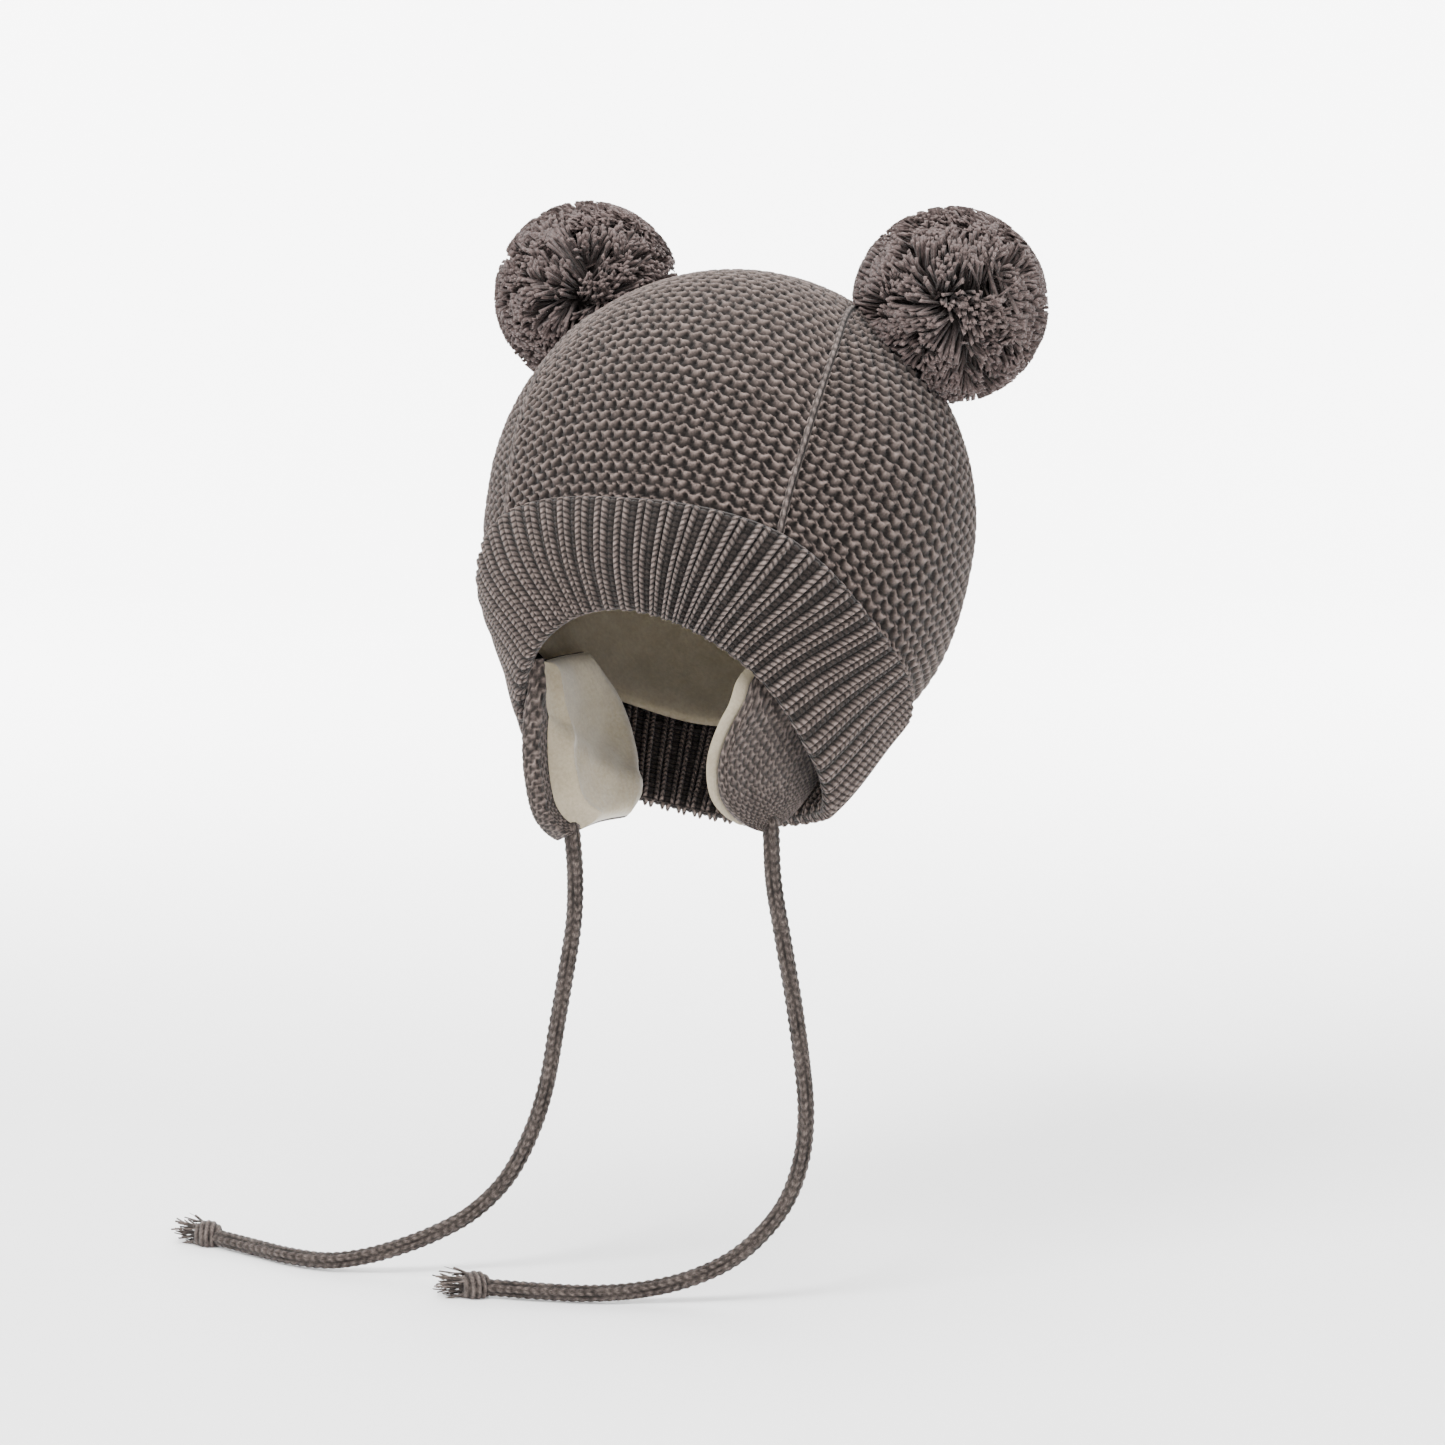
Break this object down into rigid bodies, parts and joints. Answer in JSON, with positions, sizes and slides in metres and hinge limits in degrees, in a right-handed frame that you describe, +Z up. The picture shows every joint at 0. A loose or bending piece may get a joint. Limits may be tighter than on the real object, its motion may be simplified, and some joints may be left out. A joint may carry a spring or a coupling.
{
  "type": "baby hat with ears",
  "caption": "Knitted baby hat with pompom ears, a turned-up ribbed cuff, fleece lining, ear flaps and tie cords.",
  "frame": {"origin": "where the top of the wearer's head bears on the inside of the lining", "axes": "+Z up as the hat is worn, the face looks along -Y, the wearer's left is +X"},
  "size_m": [0.2745, 0.1678, 0.3457],
  "materials": {
    "crown_knit": "taupe wool knit, matte",
    "seam_yarn": "linked seam of taupe yarn, matte",
    "cuff_rib": "taupe ribbed knit, matte",
    "fleece": "cream fleece, brushed",
    "flap_knit": "taupe wool knit, matte",
    "pompom_yarn": "cut taupe yarn, matte",
    "tie_yarn": "round knitted cord, marled taupe, matte"
  },
  "bodies": {
    "root": {"crown_center_panel": "crown_knit", "crown_side_left": "crown_knit", "crown_side_right": "crown_knit", "crown_seam_left": "seam_yarn", "crown_seam_right": "seam_yarn", "ribbed_cuff": "cuff_rib", "crown_lining": "fleece", "ear_flap_left": "flap_knit", "ear_flap_right": "flap_knit", "flap_fleece_left": "fleece", "flap_fleece_right": "fleece", "pompom_left": "pompom_yarn", "pompom_right": "pompom_yarn", "tie_left": "tie_yarn", "tie_right": "tie_yarn", "tie_knot_left": "tie_yarn", "tie_knot_right": "tie_yarn"}
  },
  "joints": []
}
